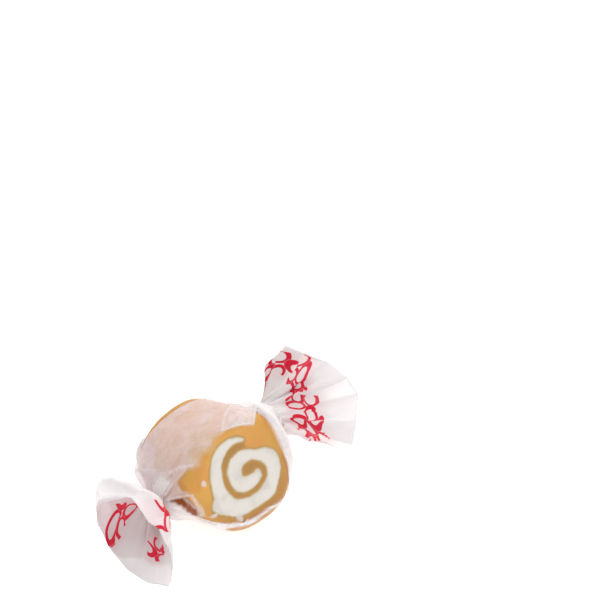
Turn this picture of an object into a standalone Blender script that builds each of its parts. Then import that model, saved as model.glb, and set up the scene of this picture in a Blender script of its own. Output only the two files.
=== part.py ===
"""Salt water taffy: a soft round log with a white swirl running through it, wrapped in waxed paper.

The log lies on its barrel with one cut face tipped up, and the paper is twisted shut at its two sides.
Its top side leans back a little, as soft taffy does when it settles.

The world frame has its origin on the table straight below the log's centre, with +Z up.
The shapes are drawn in the log's own frame: X runs along the two twists, -Y looks out of the front
face, and Z is the way up. The lean turns that frame into the world's.
"""

import math

import bmesh
import bpy
import numpy as np
from mathutils import Matrix, Vector

MM = 0.001

# The log and how it lies
LOG_RADIUS = 11.5 * MM
LOG_HALF_LENGTH = 9.9 * MM
RIM_ROUND = 2.6 * MM  # the soft edge between the barrel and a face
LUMPS = (  # (how many round the log, how high, the angle of one of them from X towards Z)
    (1, 0.40 * MM, math.radians(128)),
    (2, 0.30 * MM, math.radians(-38)),
    (3, 0.42 * MM, math.radians(50)),
    (4, 0.25 * MM, math.radians(41)),
)
TWIST_RISE = math.radians(15.6)  # the right twist stands higher than the left one
FACE_TIP = math.radians(16.5)  # the front face looks up by this much
SLUMP = (0.07, -0.5 * MM)  # soft, it sags: its back end stands higher by this share of its length
SQUASHED_HEIGHT = 10.8 * MM  # from the twists' axis down to the flat that the log rests on

# The swirl: (turn in degrees, distance from the swirl's eye, half of the band's width)
SWIRL_EYE = (1.8 * MM, 0.0)
SWIRL = (
    (84, 6.4, 0.35),
    (96, 7.2, 0.65),
    (108, 7.9, 0.90),
    (128, 8.6, 1.25),
    (145, 8.7, 1.35),
    (162, 8.6, 1.45),
    (180, 8.7, 1.65),
    (194, 8.9, 1.95),
    (208, 8.5, 1.85),
    (226, 7.5, 1.60),
    (245, 6.5, 1.45),
    (262, 6.0, 1.45),
    (280, 5.7, 1.50),
    (299, 5.4, 1.45),
    (318, 5.2, 1.60),
    (336, 5.0, 1.75),
    (353, 4.5, 1.70),
    (371, 3.7, 1.50),
    (397, 2.9, 1.10),
    (426, 2.8, 1.00),
    (458, 3.3, 1.35),
    (480, 3.9, 1.50),
    (505, 4.3, 1.70),
    (530, 4.2, 1.60),
    (552, 4.0, 1.60),
    (570, 3.4, 1.60),
    (592, 2.5, 1.40),
    (625, 1.9, 1.10),
    (652, 1.4, 0.75),
)
SWIRL_STEPS = 84  # points along the band
LAYER_GAP = 0.3 * MM  # left between the two colours, so that their solids never touch

# The paper
PAPER = 0.3 * MM  # the wall that stands for the sheet
PAPER_GAP = 0.33 * MM  # between the log and the sheet
FLOOR_GAP = 0.75 * MM  # the same under the log, where the sheet is a little baggy
NECK_REACH = 14.5 * MM  # from the log's centre to where the paper is twisted tightest
NECK_RADII = {-1: 2.1 * MM, 1: 2.8 * MM}  # the left twist is wound tighter than the right one
NECK_LENGTH = 1.3 * MM
NECK_TURN = math.radians(35)  # how far the pleats wind round within the neck
PLEATS = 9
PLEAT_DEPTH = 0.30  # of the ring's radius, at the neck
FLAP_START = math.radians(45)  # the loose end of the sheet lifts off the log from here
FLAP_EDGE = math.radians(120)  # to here, where it ends
FLAP_STEP = math.radians(2.5)  # and here the sheet beneath it goes on
FLAP_LIFT = 0.4 * MM
BAG = 1.3 * MM  # how far the sheet hangs away from the log's lower front rim
BAG_AT = math.radians(298)
BAG_WIDTH = math.radians(66)

# Each fan's rim, once round: (reach past the neck, forwards, upwards), in millimetres
RIGHT_RIM = (
    (19.6, 5.0, -5.2),
    (21.0, 1.5, -2.6),
    (16.6, 2.3, 4.4),
    (12.1, 4.2, 9.0),
    (10.9, 0.5, 11.3),
    (7.3, -3.0, 8.8),
    (13.9, -4.3, 5.2),
    (17.9, -3.4, -3.1),
    (15.7, -2.5, -10.4),
    (12.1, 1.0, -15.3),
    (13.7, 4.0, -14.6),
    (18.1, 2.5, -11.2),
)
LEFT_RIM = (
    (7.6, 8.1, 2.8),
    (7.8, 8.3, 6.1),
    (8.2, 8.3, 8.9),
    (8.9, 2.8, 8.6),
    (8.5, -6.0, 5.7),
    (8.9, -9.7, 2.2),
    (9.7, -10.2, 0.0),
    (11.5, -5.5, -2.9),
    (13.6, 2.5, -5.4),
    (13.4, 9.2, -7.5),
    (11.5, 12.0, -8.9),
    (8.1, 9.5, -7.5),
    (6.3, 7.9, -4.0),
    (6.4, 7.8, -0.1),
)
RIGHT_BULGE = (0.5 * MM, 0.0)  # how far a fan's sides bow outwards, and how much more its top side does
LEFT_BULGE = (2.6 * MM, 2.2 * MM)

# How finely the faceted solids are drawn
LOG_SEGMENTS = 56
RING_POINTS = 54
BODY_STATIONS = (0, 2.2, 4.4, 6.4, 8.2, 9.6, 10.6, 11.5, 12.4, 13.4)  # along X, in millimetres
FAN_STATIONS = 8

# The lean, and the table under the log
FLOOR_UNDER_LOG = PAPER + FLOOR_GAP
LEAN = (
    Matrix.Translation((0, 0, SQUASHED_HEIGHT + FLOOR_UNDER_LOG))
    @ Matrix.Rotation(-TWIST_RISE, 4, "Y")
    @ Matrix.Rotation(-FACE_TIP, 4, "X")
)


def log_radius(angle):
    """The barrel's radius at an angle from X towards Z, uneven because the log was pulled and cut."""
    return LOG_RADIUS + sum(height * np.cos(count * (angle - at)) for count, height, at in LUMPS)


def ease(a, b, value):
    """0 before a, 1 after b, and a smooth step between them."""
    t = np.clip((value - a) / (b - a), 0, 1)
    return t * t * (3 - 2 * t)


def slump(y):
    """How much higher the log's section stands at y."""
    return SLUMP[0] * y + SLUMP[1]


def smooth_through(knots, steps):
    """A Catmull-Rom curve through rows of numbers, sampled evenly between its first and last row."""
    rows = np.array(knots, float)
    rows = np.vstack([2 * rows[0] - rows[1], rows, 2 * rows[-1] - rows[-2]])
    at = np.linspace(0, len(knots) - 1 - 1e-9, steps)
    first = at.astype(int)
    t = (at - first)[:, None]
    a, b, c, d = (rows[first + k] for k in range(4))
    return 0.5 * (2 * b + (c - a) * t + (2 * a - 5 * b + 4 * c - d) * t**2 + (3 * b - a - 3 * c + d) * t**3)


# ---------------------------------------------------------------- the two colours of taffy


def link(name, mesh, collection, material=None):
    piece = bpy.data.objects.new(name, mesh)
    collection.objects.link(piece)
    if material:
        mesh.materials.append(material)
    return piece


def plain_material(name, color, roughness):
    material = bpy.data.materials.new(name)
    material.use_nodes = True
    shader = material.node_tree.nodes["Principled BSDF"]
    shader.inputs["Base Color"].default_value = color
    shader.inputs["Roughness"].default_value = roughness
    return material


def cut_flat_below(bm, height):
    """Cuts away what is below a level plane and closes the cut with one face."""
    geometry = bm.verts[:] + bm.edges[:] + bm.faces[:]
    cut = bmesh.ops.bisect_plane(
        bm, geom=geometry, plane_co=(0, 0, height), plane_no=(0, 0, -1), clear_outer=True
    )
    edges = [e for e in cut["geom_cut"] if isinstance(e, bmesh.types.BMEdge)]
    bmesh.ops.contextual_create(bm, geom=edges)


def log_mesh(name):
    """The whole log: a short cylinder with soft rims, lumpy round its barrel, flat where it rests."""
    bm = bmesh.new()
    bmesh.ops.create_cone(
        bm,
        cap_ends=True,
        segments=LOG_SEGMENTS,
        radius1=LOG_RADIUS,
        radius2=LOG_RADIUS,
        depth=2 * LOG_HALF_LENGTH,
        matrix=Matrix.Rotation(math.radians(90), 4, "X"),
    )
    rims = [e for e in bm.edges if abs(e.verts[0].co.y - e.verts[1].co.y) < LOG_HALF_LENGTH]
    bmesh.ops.bevel(
        bm, geom=rims, offset=RIM_ROUND, segments=5, profile=0.5, affect="EDGES", material=-1
    )
    for vertex in bm.verts:
        x, z = vertex.co.x, vertex.co.z
        if math.hypot(x, z) > 0:
            swell = log_radius(math.atan2(z, x)) / LOG_RADIUS
            vertex.co.x, vertex.co.z = x * swell, z * swell
        vertex.co.z += slump(vertex.co.y)
    bm.transform(LEAN)
    cut_flat_below(bm, FLOOR_UNDER_LOG)
    bmesh.ops.recalc_face_normals(bm, faces=bm.faces)
    mesh = bpy.data.meshes.new(name)
    bm.to_mesh(mesh)
    bm.free()
    return mesh


def swirl_outline(widen):
    """The swirl band's outline on the face, as (x, z), with its width changed by `widen` on each side."""
    turn, distance, half = smooth_through(SWIRL, SWIRL_STEPS).T
    turn = np.radians(turn)
    distance, half = distance * MM, half * MM + widen
    middle = np.stack([np.cos(turn), np.sin(turn)], 1) * distance[:, None] + np.array(SWIRL_EYE)
    ahead = np.gradient(middle, axis=0)
    ahead /= np.linalg.norm(ahead, axis=1)[:, None]
    left = np.stack([-ahead[:, 1], ahead[:, 0]], 1)
    tip = middle[-1] + ahead[-1] * half[-1] * 0.6
    tail = middle[0] - ahead[0] * half[0] * 0.6
    one_side = middle + left * half[:, None]
    other_side = middle - left * half[:, None]
    return [tail, *other_side, tip, *one_side[::-1]]


def swirl_bar(name, widen, collection):
    """A bar of the swirl's outline, longer than the log, lying along the log's slumped length."""
    curve = bpy.data.curves.new(name, "CURVE")
    curve.dimensions = "2D"
    curve.fill_mode = "BOTH"
    curve.extrude = LOG_HALF_LENGTH * 1.3
    outline = swirl_outline(widen)
    spline = curve.splines.new("POLY")
    spline.points.add(len(outline) - 1)
    for point, (x, z) in zip(spline.points, outline):
        point.co = (x, z, 0, 1)
    spline.use_cyclic_u = True
    drawn = bpy.data.objects.new(name + "_outline", curve)
    collection.objects.link(drawn)
    drawn.matrix_world = Matrix.Rotation(math.radians(90), 4, "X")
    bpy.context.view_layer.update()
    evaluated = drawn.evaluated_get(bpy.context.evaluated_depsgraph_get())
    mesh = bpy.data.meshes.new_from_object(evaluated)
    bm = bmesh.new()
    bm.from_mesh(mesh)
    bmesh.ops.remove_doubles(bm, verts=bm.verts, dist=0.001 * MM)
    bm.transform(drawn.matrix_world)
    for vertex in bm.verts:
        vertex.co.z += slump(vertex.co.y)
    bm.transform(LEAN)
    bmesh.ops.recalc_face_normals(bm, faces=bm.faces)
    bm.to_mesh(mesh)
    bm.free()
    bpy.data.objects.remove(drawn)
    return link(name, mesh, collection)


def boolean(piece, operation, other):
    modifier = piece.modifiers.new(operation.lower(), "BOOLEAN")
    modifier.operation = operation
    modifier.solver = "EXACT"
    modifier.object = other


def as_helper(piece):
    piece.hide_render = True
    piece.display_type = "WIRE"


def make_taffy(parts, helpers):
    """The caramel jacket with its curl, and the white band that fills the rest of the log."""
    caramel = plain_material("caramel", (0.60, 0.27, 0.05, 1), 0.35)
    cream = plain_material("white_cream", (0.88, 0.86, 0.80, 1), 0.45)

    jacket = link("caramel_taffy", log_mesh("caramel_taffy"), parts, caramel)
    groove = swirl_bar("swirl_groove", LAYER_GAP / 2, helpers)
    as_helper(groove)
    boolean(jacket, "DIFFERENCE", groove)

    band = swirl_bar("white_swirl", -LAYER_GAP / 2, parts)
    band.data.materials.append(cream)
    whole_log = link("whole_log", log_mesh("whole_log"), helpers)
    as_helper(whole_log)
    boolean(band, "INTERSECT", whole_log)


# ---------------------------------------------------------------- the waxed paper


def above_log(x, y, z):
    """Distance from a point to the log's surface, negative inside it."""
    z = z - slump(y)
    out = np.hypot(x, z) - (log_radius(np.arctan2(z, x)) - RIM_ROUND)
    along = np.abs(y) - (LOG_HALF_LENGTH - RIM_ROUND)
    outside = np.hypot(np.maximum(out, 0), np.maximum(along, 0))
    return outside + np.minimum(np.maximum(out, along), 0) - RIM_ROUND


def over_log(x, angle, clearance):
    """How far from the X axis the paper lies at x, where it is pressed against the log. 0 past its end."""
    low, high = np.zeros_like(angle), np.full_like(angle, 2 * LOG_RADIUS)
    for _ in range(40):
        middle = (low + high) / 2
        inside = above_log(x, -middle * np.cos(angle), middle * np.sin(angle)) < clearance
        low, high = np.where(inside, middle, low), np.where(inside, high, middle)
    return low


def taut_ring(x, angle, side):
    """The paper's distance from the X axis: against the log, then straight to the neck."""
    steps = np.linspace(0, LOG_RADIUS * 1.12, 60)
    clearance = PAPER + PAPER_GAP
    profile = np.array([over_log(side * s, angle, clearance) for s in steps])
    neck = NECK_RADII[side]
    slopes = (profile - neck) / (NECK_REACH - steps)[:, None]
    leaves = slopes.argmax(0)
    slope = slopes[leaves, np.arange(len(angle))]
    straight = neck + slope * (NECK_REACH - abs(x))
    return np.where(abs(x) < steps[leaves], over_log(x, angle, clearance), straight)


def flap_lift(x, angle):
    """How far the sheet's loose end stands off the log, fading out towards the necks."""
    along = ease(FLAP_START, FLAP_EDGE, angle) * (angle <= FLAP_EDGE + 1e-6)
    return FLAP_LIFT * along * (1 - ease(0.55 * LOG_RADIUS, 1.05 * LOG_RADIUS, abs(x)))


def bag(x, angle):
    """How far the sheet hangs loose at the log's lower front rim."""
    off = (angle - BAG_AT + math.pi) % (2 * math.pi) - math.pi
    around = 1 - ease(0, BAG_WIDTH, abs(off))
    return BAG * around * (1 - ease(0.5 * LOG_RADIUS, NECK_REACH, abs(x)))


def ring_angles():
    """Angles round the X axis, from the front face over the top, with a close pair at the flap's edge."""
    turn = 2 * math.pi
    angles = (FLAP_EDGE + np.arange(RING_POINTS - 1) * turn / (RING_POINTS - 1)) % turn
    return np.sort(np.append(angles, FLAP_EDGE + FLAP_STEP))


def pleats(x, angle):
    """The ring is multiplied by this. The pleats rise from nothing at the log."""
    rise = ease(0.80 * LOG_RADIUS, NECK_REACH, abs(x))
    wander = 0.5 * np.sin(2 * angle + 1.0)
    return 1 + PLEAT_DEPTH * rise * (0.5 + 0.5 * np.cos(PLEATS * angle + wander))


def body_ring(x, side, angle):
    radius = taut_ring(x, angle, side) + flap_lift(x, angle) + bag(x, angle)
    radius *= pleats(x, angle)
    return np.stack([np.full_like(angle, x), -radius * np.cos(angle), radius * np.sin(angle)], 1)


def rim_points(corners, side):
    """A fan's rim: straight between its corners, as folded paper is, with as many points as a ring."""
    rim = np.array([(NECK_REACH + reach * MM, -front * MM, up * MM) for reach, front, up in corners])
    rim[:, 0] *= side
    closed = np.vstack([rim, rim[:1]])
    lengths = np.linalg.norm(np.diff(closed, axis=0), axis=1)
    shares = lengths / lengths.sum() * RING_POINTS
    ends = np.round(np.concatenate([[0], np.cumsum(shares)])).astype(int)
    points = np.empty((RING_POINTS, 3))
    for a, b, start, stop in zip(closed, closed[1:], ends, ends[1:]):
        for k in range(start, stop):
            points[k] = a + (b - a) * (k - start) / (stop - start)
    return points


def fan_rings(neck, rim, side, bulge):
    """Rings from the neck out to the rim, bowed outwards from the fan's own axis between the two."""
    axis_points = rim * (1, 0, 0) + neck.mean(0) * (0, 1, 1)
    outwards = rim - axis_points
    outwards /= np.linalg.norm(outwards, axis=1)[:, None]
    bow = outwards * (bulge[0] + bulge[1] * outwards[:, 2:])
    rings = []
    for k in range(1, FAN_STATIONS + 1):
        s = k / FAN_STATIONS
        rings.append(neck + (rim - neck) * s + bow * 6.75 * s * s * (1 - s))
    return rings


def half_rings(side, rim, bulge):
    """All rings on one side, from the log's middle out to the fan's rim."""
    angle = ring_angles()
    rings = [body_ring(side * x * MM, side, angle) for x in BODY_STATIONS]
    rings.append(body_ring(side * NECK_REACH, side, angle))
    turned = angle + side * NECK_TURN
    neck_end = body_ring(side * NECK_REACH, side, turned)
    neck_end[:, 0] += side * NECK_LENGTH
    rings.append(neck_end)
    return rings + fan_rings(neck_end, rim_points(rim, side), side, bulge)


def make_wrapper(parts):
    """One sheet as a pinched tube. Its rings are unlike each other, so it is lofted from ring to ring."""
    left = half_rings(-1, LEFT_RIM, LEFT_BULGE)
    right = half_rings(1, RIGHT_RIM, RIGHT_BULGE)
    bm = bmesh.new()
    drawn = []
    for ring in left[:0:-1] + right:
        on_table = [LEAN @ Vector(point) for point in ring]
        drawn.append([bm.verts.new((p.x, p.y, max(p.z, 0.0))) for p in on_table])
    for here, there in zip(drawn, drawn[1:]):
        for k in range(RING_POINTS):
            nxt = (k + 1) % RING_POINTS
            bm.faces.new((here[k], there[k], there[nxt], here[nxt]))
    bmesh.ops.recalc_face_normals(bm, faces=bm.faces)
    mesh = bpy.data.meshes.new("wax_wrapper")
    bm.to_mesh(mesh)
    bm.free()
    paper = plain_material("waxed_paper", (0.90, 0.87, 0.85, 1), 0.40)
    wrapper = link("wax_wrapper", mesh, parts, paper)
    wall = wrapper.modifiers.new("paper", "SOLIDIFY")
    wall.thickness = PAPER
    wall.offset = -1.0


def main():
    for old in list(bpy.data.objects):
        bpy.data.objects.remove(old)
    parts = bpy.data.collections.new("salt_water_taffy")
    helpers = bpy.data.collections.new("cutters")
    for collection in (parts, helpers):
        bpy.context.scene.collection.children.link(collection)
    make_taffy(parts, helpers)
    make_wrapper(parts)


main()
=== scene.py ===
# %% [markdown]
# # A wrapped piece of salt water taffy
#
# The real thing is a short log of pulled taffy, caramel-coloured outside, with a white band rolled up
# inside it. A nearly square sheet of waxed paper goes round the log a little more than once, and its two
# ends are twisted shut and flare out into fans. Where the paper clings to the candy it almost vanishes,
# and where it stands off it turns milky, so the whole look depends on the distance between the two.
#
# The notebook makes the candy first, then the sheet, then the finishes, and last the light and the camera.

import math

import bmesh
import bpy
import numpy as np
from mathutils import Matrix, Vector, noise


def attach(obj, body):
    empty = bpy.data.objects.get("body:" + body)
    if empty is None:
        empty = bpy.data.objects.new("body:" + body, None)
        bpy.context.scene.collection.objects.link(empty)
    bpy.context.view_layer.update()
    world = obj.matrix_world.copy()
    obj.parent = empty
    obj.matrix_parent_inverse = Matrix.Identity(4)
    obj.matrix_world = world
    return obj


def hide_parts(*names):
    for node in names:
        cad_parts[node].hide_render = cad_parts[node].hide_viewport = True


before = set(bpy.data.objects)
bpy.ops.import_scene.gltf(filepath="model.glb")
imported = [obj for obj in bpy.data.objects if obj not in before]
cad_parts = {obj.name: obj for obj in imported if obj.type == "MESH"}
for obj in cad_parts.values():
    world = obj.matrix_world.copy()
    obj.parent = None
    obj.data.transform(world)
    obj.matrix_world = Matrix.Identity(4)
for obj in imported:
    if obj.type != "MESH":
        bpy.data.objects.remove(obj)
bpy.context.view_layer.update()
print("solids:", sorted(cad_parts))

MM = 0.001

# %% [markdown]
# ## The log's own frame
#
# The candy lies with its front face tipped up and its right twist raised. An object could be turned at the
# end, but every later step would have to know about the turn. So everything is drawn in the log's frame:
# X runs from twist to twist, -Y looks out of the front face, and one matrix takes the points to the world.

# %% How the log lies
TWIST_RISE = math.radians(15.6)
FACE_TIP = math.radians(16.5)
LOG_CENTRE_HEIGHT = 11.85 * MM
TABLE_UNDER_LOG = 0.25 * MM
SLUMP_SLOPE = 0.07
SLUMP_DROP = -0.5 * MM

LEAN = (
    Matrix.Translation((0, 0, LOG_CENTRE_HEIGHT))
    @ Matrix.Rotation(-TWIST_RISE, 4, "Y")
    @ Matrix.Rotation(-FACE_TIP, 4, "X")
)


def lean(points):
    """Rows of points from the log's frame, in world coordinates."""
    matrix = np.array(LEAN)
    return points @ matrix[:3, :3].T + matrix[:3, 3]


def slump(y):
    """How much higher the log's section stands at y, because the soft log has sagged."""
    return SLUMP_SLOPE * y + SLUMP_DROP


print("a step to the right climbs by", round(lean(np.array([[1, 0, 0]]))[0, 2] - LOG_CENTRE_HEIGHT, 3))

# %% [markdown]
# ## The log's shape
#
# The log was cut and wrapped while it was soft, so its section is no circle: it has a few rounded corners
# and sags out at its lower left. A drawn outline would do, but a radius made of a mean, a few cosine waves
# and one hump is shorter, and the same function later tells the paper how far out the candy reaches.

# %% The log's section
LOG_RADIUS = 11.7 * MM
LOG_HALF_LENGTH = 10.1 * MM
RIM_ROUND = 2.6 * MM
LUMPS = (  # (how many round the log, how high, the angle of one of them from X towards Z)
    (1, 0.40 * MM, math.radians(128)),
    (2, 0.30 * MM, math.radians(-38)),
    (3, 0.42 * MM, math.radians(50)),
    (4, 0.25 * MM, math.radians(41)),
)
BELLY = 0.75 * MM  # how far the log sags out at its lower left
BELLY_AT = math.radians(-122)
BELLY_WIDTH = math.radians(30)


def half_turn(angle):
    """The same direction, as an angle from -pi to pi."""
    return (angle + math.pi) % (2 * math.pi) - math.pi


def hump(middle, width, value):
    """A bell curve with a height of 1."""
    return np.exp(-(((value - middle) / width) ** 2))


def log_radius(angle):
    """How far the log's section reaches from its axis in one direction."""
    lumps = sum(height * np.cos(count * (angle - at)) for count, height, at in LUMPS)
    return LOG_RADIUS + lumps + BELLY * hump(0, BELLY_WIDTH, half_turn(angle - BELLY_AT))


def above_log(x, y, z):
    """Distance from points in the log's frame to the log's surface, negative inside it."""
    z = z - slump(y)
    out = np.hypot(x, z) - (log_radius(np.arctan2(z, x)) - RIM_ROUND)
    along = np.abs(y) - (LOG_HALF_LENGTH - RIM_ROUND)
    outside = np.hypot(np.maximum(out, 0), np.maximum(along, 0))
    return outside + np.minimum(np.maximum(out, along), 0) - RIM_ROUND


all_round = np.radians(np.arange(360))
section_x, section_z = log_radius(all_round) * (np.cos(all_round), np.sin(all_round))
print("section: %.1f mm wide, %.1f mm high" % (np.ptp(section_x) / MM, np.ptp(section_z) / MM))

# %% [markdown]
# ## A dense body for the log
#
# The cut faces carry the colours' edge and small dents, but a cylinder's caps are single polygons. A finely
# divided cube, with its square faces pulled into discs and its corners rounded, has even quads everywhere.

# %% The log as a pulled cube
CUBE_CUTS = 64
DENT_DEPTH = 0.16 * MM
DENTS = ((0.55, 1, 1.0), (0.2, 2, 0.4))  # (size of the lumps, seed, height), on a cube from -1 to 1


def wobble(points, layers):
    """Smooth noise at each point, as the sum of layers of (size of the lumps, seed, height)."""
    total = np.zeros(len(points))
    for size, seed, height in layers:
        shift = Vector((seed * 17.3, seed * 5.1, seed * 9.7))
        total += height * np.array([noise.noise(Vector(p) / size + shift) for p in points])
    return total


def onto_log(cube_points):
    """Moves points of a cube from -1 to 1 onto the log's surface, before it slumps."""
    x, y, z = cube_points.T
    disc_x = x * np.sqrt(1 - z * z / 2)
    disc_z = z * np.sqrt(1 - x * x / 2)
    angle = np.arctan2(disc_z, disc_x)
    radius = log_radius(angle)
    out = np.hypot(disc_x, disc_z) * radius
    along = y * LOG_HALF_LENGTH
    core_out = np.minimum(out, radius - RIM_ROUND)
    core_limit = LOG_HALF_LENGTH - RIM_ROUND
    core_along = np.clip(along, -core_limit, core_limit)
    skin = np.stack([out - core_out, along - core_along], 1)
    skin *= (RIM_ROUND / np.maximum(np.linalg.norm(skin, axis=1), 1e-9))[:, None]
    skin *= (1 + (wobble(cube_points, DENTS) - 1) * DENT_DEPTH / RIM_ROUND)[:, None]
    out = core_out + skin[:, 0]
    along = core_along + skin[:, 1]
    return np.stack([out * np.cos(angle), along, out * np.sin(angle)], 1)


def vertex_array(bm):
    return np.array([v.co[:] for v in bm.verts])


def set_vertices(bm, points):
    for vertex, point in zip(bm.verts, points):
        vertex.co = point


def new_piece(name, bm):
    """Turns a bmesh into an object in the scene, at the origin."""
    mesh = bpy.data.meshes.new(name)
    bm.to_mesh(mesh)
    bm.free()
    piece = bpy.data.objects.new(name, mesh)
    bpy.context.scene.collection.objects.link(piece)
    return piece


def dense_log(name):
    bm = bmesh.new()
    bmesh.ops.create_cube(bm, size=2)
    bmesh.ops.subdivide_edges(bm, edges=bm.edges, cuts=CUBE_CUTS, use_grid_fill=True)
    set_vertices(bm, onto_log(vertex_array(bm)))
    return new_piece(name, bm)


# %% [markdown]
# ## The swirl
#
# The white band starts as a thin tail near the top of the face and winds inwards for a turn and a half. A
# spiral formula is too even for pulled candy, so a table gives the band's place and width at some turns,
# and a smooth curve runs through them. Low on the face, the outer side alone runs out into a small foot.

# %% The band's middle line
SWIRL_EYE = np.array([1.8 * MM, 0.0])
SWIRL = (  # (turn in degrees, distance from the eye in mm, half of the band's width in mm)
    (84, 6.4, 0.35), (96, 7.2, 0.65), (108, 7.9, 0.90), (128, 8.6, 1.25), (145, 8.7, 1.35),
    (162, 8.6, 1.45), (180, 8.7, 1.65), (194, 8.9, 1.95), (208, 8.5, 1.85), (226, 7.5, 1.60),
    (245, 6.5, 1.45), (262, 6.0, 1.50), (280, 5.8, 1.70), (299, 5.5, 1.60), (318, 5.2, 1.60),
    (336, 5.0, 1.75), (353, 4.5, 1.70), (371, 3.7, 1.50), (397, 2.9, 1.10), (426, 2.8, 1.00),
    (458, 3.3, 1.35), (480, 3.9, 1.50), (505, 4.3, 1.70), (530, 4.2, 1.60), (552, 4.0, 1.60),
    (570, 3.4, 1.60), (592, 2.5, 1.40), (625, 1.9, 1.10), (652, 1.4, 0.75),
)
SWIRL_STEPS = 260
FOOT_REACH = 0.85 * MM
FOOT_TURN = 191  # degrees, on the same scale as the swirl's turns
FOOT_SPREAD = 6.5


def smooth_through(knots, steps):
    """A smooth curve through rows of numbers, sampled evenly between its first and last row."""
    rows = np.array(knots, float)
    rows = np.vstack([2 * rows[0] - rows[1], rows, 2 * rows[-1] - rows[-2]])
    at = np.linspace(0, len(knots) - 1 - 1e-9, steps)
    first = at.astype(int)
    t = (at - first)[:, None]
    a, b, c, d = (rows[first + k] for k in range(4))
    square = 2 * a - 5 * b + 4 * c - d
    cube = 3 * b - a - 3 * c + d
    return 0.5 * (2 * b + (c - a) * t + square * t**2 + cube * t**3)


swirl_degrees, swirl_distance, swirl_half = smooth_through(SWIRL, SWIRL_STEPS).T
swirl_turn = np.radians(swirl_degrees)
swirl_half = swirl_half * MM
from_eye = np.stack([np.cos(swirl_turn), np.sin(swirl_turn)], 1) * swirl_distance[:, None] * MM
swirl_middle = from_eye + SWIRL_EYE
swirl_ahead = np.gradient(swirl_middle, axis=0)
swirl_ahead /= np.linalg.norm(swirl_ahead, axis=1)[:, None]
swirl_inwards = np.stack([-swirl_ahead[:, 1], swirl_ahead[:, 0]], 1)
swirl_foot = FOOT_REACH * hump(FOOT_TURN, FOOT_SPREAD, swirl_degrees)
swirl_length = np.linalg.norm(np.diff(swirl_middle, axis=0), axis=1).sum()
print("the white band is %.0f mm long" % (swirl_length / MM))

# %% [markdown]
# The log is cut from a long roll, so the band runs right through it. Two exact Booleans with a bar share
# the dense log out, and the two parts then have the very same surface along the line where they meet.

# %% The band as a bar through the log
TIP_REACH = 0.6  # how far the band's ends reach past the middle line, as a share of half its width
BAR_REACH = 1.2 * LOG_HALF_LENGTH


def swirl_outline():
    """The band's outline on the face, from the tail along the outer side to the tip, and back."""
    tip = swirl_middle[-1] + swirl_ahead[-1] * swirl_half[-1] * TIP_REACH
    tail = swirl_middle[0] - swirl_ahead[0] * swirl_half[0] * TIP_REACH
    inner_side = swirl_middle + swirl_inwards * swirl_half[:, None]
    outer_side = swirl_middle - swirl_inwards * (swirl_half + swirl_foot)[:, None]
    return [tail, *outer_side, tip, *inner_side[::-1]]


def swirl_bar(name):
    """The band's outline as one face, pushed through the whole length of the log."""
    bm = bmesh.new()
    outline = [bm.verts.new((x, -BAR_REACH, z)) for x, z in swirl_outline()]
    face = bm.faces.new(outline)
    bmesh.ops.triangulate(bm, faces=[face])
    pushed = bmesh.ops.extrude_face_region(bm, geom=bm.faces[:])
    moved = [v for v in pushed["geom"] if isinstance(v, bmesh.types.BMVert)]
    bmesh.ops.translate(bm, verts=moved, vec=(0, 2 * BAR_REACH, 0))
    bmesh.ops.recalc_face_normals(bm, faces=bm.faces)
    return new_piece(name, bm)


def combined(piece, operation, other):
    """Applies one exact Boolean and returns the piece with its new mesh."""
    modifier = piece.modifiers.new(operation.lower(), "BOOLEAN")
    modifier.operation = operation
    modifier.solver = "EXACT"
    modifier.object = other
    bpy.context.view_layer.update()
    evaluated = piece.evaluated_get(bpy.context.evaluated_depsgraph_get())
    mesh = bpy.data.meshes.new_from_object(evaluated)
    piece.modifiers.clear()
    piece.data = mesh
    return piece


bar = swirl_bar("swirl_cutter")
caramel_log = combined(dense_log("caramel_log"), "DIFFERENCE", bar)
white_band = combined(dense_log("white_band"), "INTERSECT", bar)
bpy.data.objects.remove(bar)
print("caramel:", len(caramel_log.data.polygons), "faces, white:", len(white_band.data.polygons), "faces")

# %% [markdown]
# ## Where the two colours meet
#
# On the real face the colours have bled into each other a little, and their line is a faint valley. A
# painted texture would need an unwrapped log. Instead each vertex stores its distance to the edge of the
# white band, so both materials can fade to one colour there. More values mark where the caramel is darker:
# in the thin arm between the turns, and low on the log and at the back, where the darkening is painted shade.

# %% Distances for the colours, and the valley
FOOT_ROUND = 0.9 * MM  # radius of the foot's end
FOOT_LEAST = 0.05 * MM
VALLEY_DEPTH = 0.08 * MM
VALLEY_WIDTH = 0.45 * MM
ON_FACE = (0.80, 0.97)  # shares of the log's half length between which a cut face begins
BACK_FROM = (3 * MM, 6 * MM)
SHARP_EDGE = math.radians(50)


def ease(start, end, value):
    """0 before start, 1 after end, and a smooth step between them."""
    t = np.clip((value - start) / (end - start), 0, 1)
    return t * t * (3 - 2 * t)


def distance_to_white(x, z):
    """Signed distance from face points to the band's edge, in metres, negative in the white."""
    foot_middle = swirl_middle - swirl_inwards * (swirl_half + swirl_foot - FOOT_ROUND)[:, None]
    discs = list(zip(swirl_middle, swirl_half))
    discs += [(middle, FOOT_ROUND) for middle in foot_middle[swirl_foot > FOOT_LEAST]]
    points = np.stack([x, z], 1)
    best = np.full(len(points), np.inf)
    for middle, radius in discs:
        best = np.minimum(best, np.linalg.norm(points - middle, axis=1) - radius)
    return best


def inside_swirl(x, z):
    """1 for points nearer to the eye than the swirl's outer turn, 0 for points outside it."""
    offset = np.stack([x, z], 1) - SWIRL_EYE
    first_turn = SWIRL[0][0]
    turn = (np.degrees(np.arctan2(offset[:, 1], offset[:, 0])) - first_turn) % 360 + first_turn
    outer = np.interp(turn, swirl_degrees, swirl_distance * MM)
    return (np.linalg.norm(offset, axis=1) < outer).astype(float)


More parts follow.
